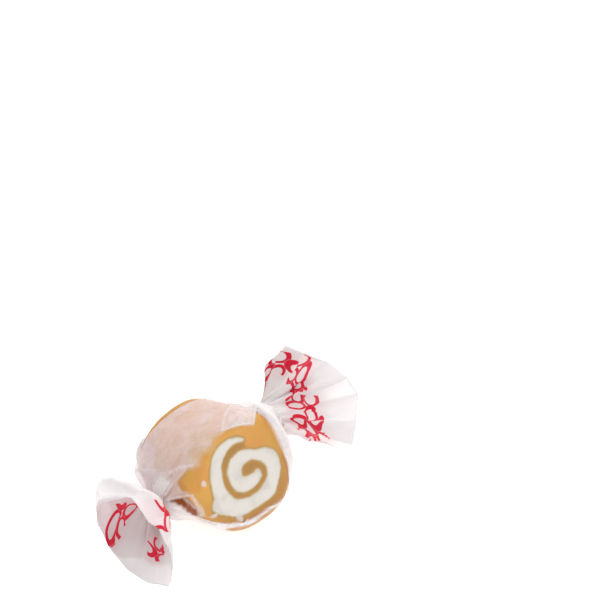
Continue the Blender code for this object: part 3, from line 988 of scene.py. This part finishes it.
# %% Node helpers
class Finish:
    """A node tree, with short ways to add nodes and link them."""

    def __init__(self, tree):
        self.tree = tree

    def add(self, kind, inputs=None, **settings):
        node = self.tree.nodes.new(kind)
        for key, value in settings.items():
            setattr(node, key, value)
        self.feed(node, inputs or {})
        return node

    def feed(self, node, inputs):
        """Gives each named input of a node a value, or a link from another node's output."""
        for key, value in inputs.items():
            if isinstance(value, bpy.types.NodeSocket):
                self.tree.links.new(value, node.inputs[key])
            else:
                node.inputs[key].default_value = value

    def math(self, operation, a, b=0.0, c=0.0, clamp=False):
        node = self.add("ShaderNodeMath", {0: a, 1: b, 2: c}, operation=operation, use_clamp=clamp)
        return node.outputs[0]

    def remap(self, value, low, high, to_low=0.0, to_high=1.0):
        inputs = {"Value": value, "From Min": low, "From Max": high, "To Min": to_low, "To Max": to_high}
        return self.add("ShaderNodeMapRange", inputs, interpolation_type="SMOOTHSTEP").outputs["Result"]

    def mix(self, factor, a, b):
        return self.add("ShaderNodeMix", {"Factor": factor, 6: a, 7: b}, data_type="RGBA").outputs[2]

    def vector(self, operation, a, b=(0, 0, 0)):
        return self.add("ShaderNodeVectorMath", {0: a, 1: b}, operation=operation).outputs[0]

    def length(self, vector):
        return self.add("ShaderNodeVectorMath", {0: vector}, operation="LENGTH").outputs["Value"]

    def attribute(self, name):
        return self.add("ShaderNodeAttribute", attribute_name=name).outputs["Fac"]

    def noise(self, vector, scale, detail=3.0, roughness=0.5):
        inputs = {"Vector": vector, "Scale": scale, "Detail": detail, "Roughness": roughness}
        return self.add("ShaderNodeTexNoise", inputs).outputs["Fac"]

    def bump(self, height, strength, distance):
        inputs = {"Height": height, "Strength": strength, "Distance": distance}
        return self.add("ShaderNodeBump", inputs).outputs["Normal"]


def new_group(name, inputs, outputs):
    """A node group with named sockets, given as pairs of a name and a kind."""
    group = bpy.data.node_groups.new(name, "ShaderNodeTree")
    for direction, sockets in (("INPUT", inputs), ("OUTPUT", outputs)):
        for socket, kind in sockets:
            group.interface.new_socket(socket, in_out=direction, socket_type="NodeSocket" + kind)
    return group, Finish(group)


def new_material(name):
    material = bpy.data.materials.new(name)
    material.use_nodes = True
    material.node_tree.nodes.clear()
    finish = Finish(material.node_tree)
    shader = finish.add("ShaderNodeBsdfPrincipled")
    finish.add("ShaderNodeOutputMaterial", {"Surface": shader.outputs["BSDF"]}, location=(300, 0))
    return material, finish, shader


# %% [markdown]
# ### Taffy
#
# Thick caramel is golden and mottled, the thin arm is browner, and the white has a yellowish rim. Low on the
# log and at its back the caramel is darkened as painted shade. One colour for each piece would look cut out
# along the line, so both share one node group, which reads the stored values and gives the colour anywhere on
# the face.

# %% The taffy's colours
CARAMEL = (0.685, 0.308, 0.042, 1)
CARAMEL_LIGHT = (0.775, 0.405, 0.054, 1)
# painted shade: the caramel darkens towards the bottom and the back of the log
CARAMEL_PAINTED_SHADE = (0.455, 0.198, 0.028, 1)
CARAMEL_ARM = (0.410, 0.190, 0.020, 1)
CARAMEL_OCHRE = (0.630, 0.340, 0.032, 1)
CREAM = (0.780, 0.735, 0.680, 1)
CREAM_SHADED = (0.660, 0.625, 0.570, 1)
CREAM_RIM = (0.700, 0.600, 0.420, 1)
SEEPED = (0.505, 0.262, 0.040, 1)
BACK_PAINTED_SHADE = 0.45
ARM_SHARE = 0.9


def taffy_group():
    group, g = new_group("taffy_colours", (), (("Color", "Color"), ("Height", "Float")))
    place = g.add("ShaderNodeTexCoord").outputs["Object"]
    edge = g.attribute("edge_mm")
    for scale, reach in ((900.0, 0.4), (340.0, 0.6)):  # lumps per metre, and mm that they move the edge
        edge = g.math("ADD", edge, g.math("MULTIPLY_ADD", g.noise(place, scale), reach, -reach / 2))
    mottled = g.remap(g.noise(place, 260.0, 4.0, 0.6), 0.35, 0.65)
    caramel = g.mix(g.math("MULTIPLY", mottled, 0.75), CARAMEL, CARAMEL_LIGHT)
    caramel = g.mix(g.remap(g.noise(place, 130.0, 3.0), 0.45, 0.62, 0.0, 0.75), caramel, CARAMEL_OCHRE)
    # painted shade, darker towards the back and towards the bottom of the log
    caramel = g.mix(g.math("MULTIPLY", g.attribute("back"), BACK_PAINTED_SHADE), caramel, CARAMEL_PAINTED_SHADE)
    caramel = g.mix(g.remap(g.attribute("up_mm"), 3.0, -8.5, 0.0, 0.80), caramel, CARAMEL_PAINTED_SHADE)
    caramel = g.mix(g.math("MULTIPLY", g.attribute("arm"), ARM_SHARE), caramel, CARAMEL_ARM)
    stained = g.mix(g.remap(edge, 0.75, 0.05), caramel, SEEPED)
    cream = g.mix(g.remap(g.noise(place, 300.0), 0.45, 0.70), CREAM, CREAM_SHADED)
    cream = g.mix(g.remap(edge, 0.05, -0.55), CREAM_RIM, cream)
    color = g.mix(g.remap(edge, 0.24, -0.22), stained, cream)
    grain = g.math("MULTIPLY", g.noise(place, 2400.0), 0.3)
    height = g.math("ADD", g.noise(place, 700.0, 4.0, 0.6), grain)
    g.add("NodeGroupOutput", {"Color": color, "Height": height})
    return group


def taffy_material(name, group, roughness, scatter, radius):
    material, finish, shader = new_material(name)
    colours = finish.add("ShaderNodeGroup", node_tree=group).outputs
    finish.feed(shader, {
        "Base Color": colours["Color"],
        "Normal": finish.bump(colours["Height"], 0.25, 0.10 * MM),
        "Roughness": roughness,
        "Specular IOR Level": 0.35,
        "Subsurface Weight": scatter,
        "Subsurface Radius": radius,
        "Subsurface Scale": 1.2 * MM,
    })
    return material


taffy_colours = taffy_group()
caramel_log.data.materials.append(taffy_material("caramel", taffy_colours, 0.38, 0.35, (1.0, 0.45, 0.15)))
white_band.data.materials.append(taffy_material("white_cream", taffy_colours, 0.50, 0.25, (1.0, 0.9, 0.75)))
print("nodes for the taffy's colours:", len(taffy_colours.nodes))

# %% [markdown]
# ### The print
#
# The paper carries red print near each end, here a plain ornament: a chain of puffed petals in outline. An
# image would blur close up, so it is drawn with nodes. A petal is an ellipse with a smaller, shifted one
# taken out, which leaves a line of uneven width, and each petal hides what is under it.

# %% A petal, as a node group
PETAL_EDGE = (1.04, 0.98)  # distances from the middle, where the petal's outline is 1
HOLLOW_EDGE = (0.63, 0.58)
HOLLOW_SHIFT = (-0.13, 0.09, 0)


def petal_group():
    vectors = [(name, "Vector") for name in ("Point", "Centre", "Size")]
    group, g = new_group("petal", [("Under", "Float"), *vectors, ("Turn", "Float")], [("Ink", "Float")])
    given = g.add("NodeGroupInput").outputs
    offset = g.vector("SUBTRACT", given["Point"], given["Centre"])
    turning = {"Vector": offset, "Angle": given["Turn"]}
    turned = g.add("ShaderNodeVectorRotate", turning, rotation_type="Z_AXIS").outputs[0]
    whole = g.vector("DIVIDE", turned, given["Size"])
    body = g.remap(g.length(whole), *PETAL_EDGE)
    hollow = g.remap(g.length(g.vector("ADD", whole, HOLLOW_SHIFT)), *HOLLOW_EDGE)
    line = g.math("MULTIPLY", body, g.math("SUBTRACT", 1.0, hollow))
    kept = g.math("MULTIPLY", given["Under"], g.math("SUBTRACT", 1.0, body))
    g.add("NodeGroupOutput", {"Ink": g.math("MAXIMUM", kept, line)})
    return group


# %% [markdown]
# One cell of petals repeats along each band. Crumpled fans show only some of it, so the print is kept to a
# few areas of the flat sheet, and a faint ghost round them is print on another layer that shines through.

# %% The band of petals
PRINT_FROM_MIDDLE = 30.0  # mm, from the sheet's middle to the middle of a band of print
PRINT_AREAS = (  # corners as (mm from the sheet's middle, negative on the left, mm round the sheet)
    ((-27, 73), (-36, 73), (-35, 65.5), (-30.4, 64), (-25.5, 66)),
    ((-26.6, 43.6), (-26.6, 50), (-29.9, 50.7), (-31.9, 49.3), (-32.6, 46), (-32.5, 43.3), (-29.4, 42.2)),
    ((-25.6, 21), (-36.5, 21), (-36, 26), (-33, 30.2), (-30.2, 30.2), (-25, 28)),
    ((28, 97.5), (33, 97.5), (32, 77), (27, 79.8)),
    ((28, -1), (35, -1), (34, 26), (28, 26)),
    ((27, 79.6), (34, 73.7), (31.8, 67), (25.3, 67)),
    ((25.3, 67.2), (32.5, 67.2), (35.5, 60.2), (34.4, 56.1), (29.7, 52.4), (27.1, 52.4), (25.3, 60)),
    ((27, 27), (33.5, 27), (34.5, 52), (27, 52)),
)
CELL = 13.0  # mm, along the band
PRINT_SQUEEZE = 0.55  # the pleats hide about half of the sheet round the fan
PRINT_EDGE = 0.06  # mm
GHOST = 0.20  # how strongly print on other layers shines through
PETALS = (  # (across the band, along it), (half length, half width), turn in degrees
    ((-2.4, 0.9), (2.5, 1.7), 20),
    ((2.3, 1.6), (2.5, 1.6), 130),
    ((-0.4, 3.3), (2.2, 1.5), 80),
    ((-2.7, 5.2), (2.3, 1.6), 110),
    ((2.5, 5.2), (2.4, 1.7), 25),
    ((-0.3, 7.0), (2.4, 1.5), 60),
    ((2.6, 8.7), (2.3, 1.6), 150),
    ((-2.4, 8.9), (2.5, 1.7), 35),
    ((0.3, 10.8), (2.2, 1.5), 100),
)


def area_distance(g, u, v, corners):
    """Distance into a convex area of the flat sheet, in mm, negative outside it."""
    middle = np.mean(corners, 0)
    distance = 1000.0
    for start, end in zip(corners, corners[1:] + corners[:1]):
        inwards = np.array([start[1] - end[1], end[0] - start[0]])
        inwards = inwards / np.linalg.norm(inwards) * np.sign(inwards @ (middle - start))
        part = g.math("MULTIPLY_ADD", u, inwards[0], -float(inwards @ start))
        distance = g.math("MINIMUM", distance, g.math("MULTIPLY_ADD", v, inwards[1], part))
    return distance


def chain_of_petals(g, point):
    """Ink of one cell, with the petals that reach in from the cells before and after it."""
    petal = petal_group()
    ink = 0.0
    for (x, y), (rx, ry), turn in PETALS:
        for shift in (-CELL, 0, CELL):
            if -rx < y + shift < CELL + rx:
                inputs = {"Under": ink, "Point": point, "Centre": (x, y + shift, 0)}
                inputs |= {"Size": (rx, ry, 1), "Turn": math.radians(turn)}
                ink = g.add("ShaderNodeGroup", inputs, node_tree=petal).outputs["Ink"]
    return ink


def print_group():
    group, g = new_group("petal_print", (), [("Ink", "Float")])
    sheet_uv = g.add("ShaderNodeUVMap", uv_map="flat_sheet").outputs["UV"]
    flat = g.add("ShaderNodeSeparateXYZ", {"Vector": sheet_uv}).outputs
    along, around = (g.math("MULTIPLY", flat[axis], 1 / (UV_PER_METRE * MM)) for axis in "XY")
    across_band = g.math("SUBTRACT", g.math("ABSOLUTE", along), PRINT_FROM_MIDDLE)
    in_cell = g.math("WRAP", g.math("MULTIPLY", around, PRINT_SQUEEZE), CELL, 0.0)
    point = g.add("ShaderNodeCombineXYZ", {"X": across_band, "Y": in_cell}).outputs["Vector"]
    depth = -1000.0
    for corners in PRINT_AREAS:
        depth = g.math("MAXIMUM", depth, area_distance(g, along, around, corners))
    ink = g.math("MULTIPLY", chain_of_petals(g, point), g.remap(depth, -PRINT_EDGE, PRINT_EDGE))
    blotches = g.remap(g.noise(sheet_uv, 9.0), 0.3, 0.7, 0.3, 1.0)
    ghost = g.math("MULTIPLY", g.math("MULTIPLY", g.remap(depth, -2.4, 0.6), blotches), GHOST)
    g.add("NodeGroupOutput", {"Ink": g.math("MAXIMUM", ink, ghost)})
    return group


petal_print = print_group()
print("nodes for the print:", len(petal_print.nodes))

# %% [markdown]
# ### Waxed paper
#
# Waxed paper scatters light and lets most of it pass. Real transmission would need many bounces through
# the crumpled layers. Instead the paper is a white finish whose opacity is the stored `milk`, never quite
# 1, with fine creases as bump and the print on top. It stops less light than it hides of the view.

# %% The paper's material
PAPER_WHITE = (0.860, 0.812, 0.820, 1)
PAPER_PAINTED_WARM_SHADE = (0.805, 0.690, 0.698, 1)  # painted warm shade of the loose end, for the caramel's glow and shade through the paper below it
PAPER_PAINTED_SHADE = (0.640, 0.540, 0.550, 1)  # painted shade of several layers, deep in the left cup
FOLD_SHADOW_COLOUR = (0.270, 0.060, 0.006, 1)  # painted shadow of the deep fold, in dark caramel-brown
INK_RED = (0.660, 0.001, 0.031, 1)
INK_OPACITY = 0.99
CLEAR_OPACITY = 0.022
MILKY_OPACITY = 0.86
CLOUDS = 0.24  # how much the milk varies in small clouds, near the candy
LIGHT_LET_THROUGH = 0.62  # waxed paper spreads the light that falls on it but stops little of it


def paper_opacity(finish, place, printed):
    milk_here = finish.attribute("milk")
    cloud = finish.remap(finish.noise(place, 330.0, 5.0, 0.65), 0.30, 0.70, -CLOUDS, CLOUDS)
    cloud = finish.math("MULTIPLY", cloud, finish.remap(finish.attribute("room_mm"), 4.0, 1.5))
    milk_here = finish.math("ADD", milk_here, finish.math("MULTIPLY", cloud, milk_here), clamp=True)
    opacity = finish.math("MULTIPLY_ADD", milk_here, MILKY_OPACITY - CLEAR_OPACITY, CLEAR_OPACITY)
    opacity = finish.math("MAXIMUM", opacity, finish.math("MULTIPLY", printed, INK_OPACITY))
    path = finish.add("ShaderNodeLightPath").outputs
    lighting = finish.math("MAXIMUM", path["Is Shadow Ray"], path["Is Diffuse Ray"])
    passed = finish.math("MULTIPLY_ADD", lighting, -LIGHT_LET_THROUGH, 1.0)
    return finish.math("MULTIPLY", opacity, passed)


def paper_material():
    material, finish, shader = new_material("waxed_paper")
    place = finish.add("ShaderNodeTexCoord").outputs["Object"]
    printed = finish.add("ShaderNodeGroup", node_tree=petal_print).outputs["Ink"]
    cells = finish.add("ShaderNodeTexVoronoi", {"Vector": place, "Scale": 420.0}, feature="DISTANCE_TO_EDGE")
    fine = finish.math("ADD", finish.noise(place, 1500.0, 3.0), cells.outputs["Distance"])
    paper = PAPER_WHITE
    # painted tints over the paper's white: warm shade over the candy, shade deep in the left cup, and the
    # fold's shadow
    for value, tint in (("painted_warm_shade", PAPER_PAINTED_WARM_SHADE), ("cup", PAPER_PAINTED_SHADE), ("painted_fold_shadow", FOLD_SHADOW_COLOUR)):
        paper = finish.mix(finish.attribute(value), paper, tint)
    finish.feed(shader, {
        "Base Color": finish.mix(printed, paper, INK_RED),
        "Alpha": paper_opacity(finish, place, printed),
        "Normal": finish.bump(fine, 0.18, 0.12 * MM),
        "Roughness": 0.36,
        "Specular IOR Level": 0.30,
    })
    return material


waxed_paper = paper_material()
paper_sheet.data.materials.append(waxed_paper)
print("nodes for the paper:", len(waxed_paper.node_tree.nodes))

# %% [markdown]
# ## Light, table and camera
#
# The real setting is a bright studio with a white table that washes out. Lamps alone would leave shadows on
# it, so the table is a glowing sheet, a white world lights from all round, a little less than it is bright
# to look at, and one large lamp gives the gloss.

# %% Table and light
TABLE_GLOW = 0.85
LAMP_PLACE = Vector((0.30, 0.12, 0.50))
LAMP_TARGET = Vector((0, 0, 0.01))
LAMP_SIZE = 0.45
LAMP_POWER = 1.9
WORLD_LIGHT = 0.77

bm = bmesh.new()
bmesh.ops.create_grid(bm, x_segments=1, y_segments=1, size=2.0)
table = new_piece("table", bm)
table_material, finish, shader = new_material("pale_table")
finish.feed(shader, {
    "Base Color": (0.5, 0.5, 0.5, 1),
    "Roughness": 0.6,
    "Emission Color": (1, 1, 1, 1),
    "Emission Strength": TABLE_GLOW,
})
table.data.materials.append(table_material)

lamp_data = bpy.data.lights.new("top_light", "AREA")
lamp_data.size = LAMP_SIZE
lamp_data.energy = LAMP_POWER
lamp = bpy.data.objects.new("top_light", lamp_data)
bpy.context.scene.collection.objects.link(lamp)
lamp.location = LAMP_PLACE
lamp.rotation_euler = (LAMP_TARGET - LAMP_PLACE).to_track_quat("-Z", "Y").to_euler()
print("the lamp hangs %.2f m from the candy" % (LAMP_TARGET - LAMP_PLACE).length)

world = bpy.data.worlds.new("studio")
world.use_nodes = True
sky = Finish(world.node_tree)
seen = sky.add("ShaderNodeLightPath").outputs["Is Camera Ray"]
strength = sky.math("MULTIPLY_ADD", seen, 1.0 - WORLD_LIGHT, WORLD_LIGHT)
sky.feed(world.node_tree.nodes["Background"], {"Color": (1, 1, 1, 1), "Strength": strength})
bpy.context.scene.world = world

# %% [markdown]
# The camera looks down by 30 degrees at the candy, which is low and to the left in the frame. It could be
# placed by trial, but its distance follows from the lens and the scale, and its direction from the pixel
# where the log's centre has to fall.

# %% Camera
PHOTO_PIXELS = 608
LOG_CENTRE_PIXEL = (215.6, 461.7)
PIXELS_PER_METRE = 5020
LOOK_DOWN = math.radians(30)
LOOK_HEADING = math.radians(50.45)  # from +X towards +Y
LENS = 95.0
SENSOR = 36.0
MOST_LAYERS = 24  # of paper that a ray can pass through

focal = LENS / SENSOR * PHOTO_PIXELS
right_share = (LOG_CENTRE_PIXEL[0] - PHOTO_PIXELS / 2) / focal
up_share = (PHOTO_PIXELS / 2 - LOG_CENTRE_PIXEL[1]) / focal
length = math.sqrt(1 + right_share**2 + up_share**2)
down = math.asin(math.sin(LOOK_DOWN) * length / math.sqrt(1 + up_share**2)) + math.atan(up_share)
heading = LOOK_HEADING + math.atan2(right_share, math.cos(down) + up_share * math.sin(down))
level = Vector((math.cos(heading), math.sin(heading), 0))
ahead = level * math.cos(down) - Vector((0, 0, math.sin(down)))
up = level * math.sin(down) + Vector((0, 0, math.cos(down)))
right = ahead.cross(up)
to_log = ahead + right * right_share + up * up_share
placed = Matrix((right, up, -ahead)).transposed().to_4x4()
placed.translation = Vector((0, 0, LOG_CENTRE_HEIGHT)) - to_log * focal / PIXELS_PER_METRE
camera_data = bpy.data.cameras.new("camera")
camera_data.lens = LENS
camera_data.sensor_width = SENSOR
camera_data.clip_start = 0.01
camera = bpy.data.objects.new("camera", camera_data)
camera.matrix_world = placed
print("the camera stands %.2f m from the candy" % placed.translation.length)

scene = bpy.context.scene
scene.collection.objects.link(camera)
scene.camera = camera
scene.view_settings.view_transform = "Standard"
scene.cycles.transparent_max_bounces = MOST_LAYERS
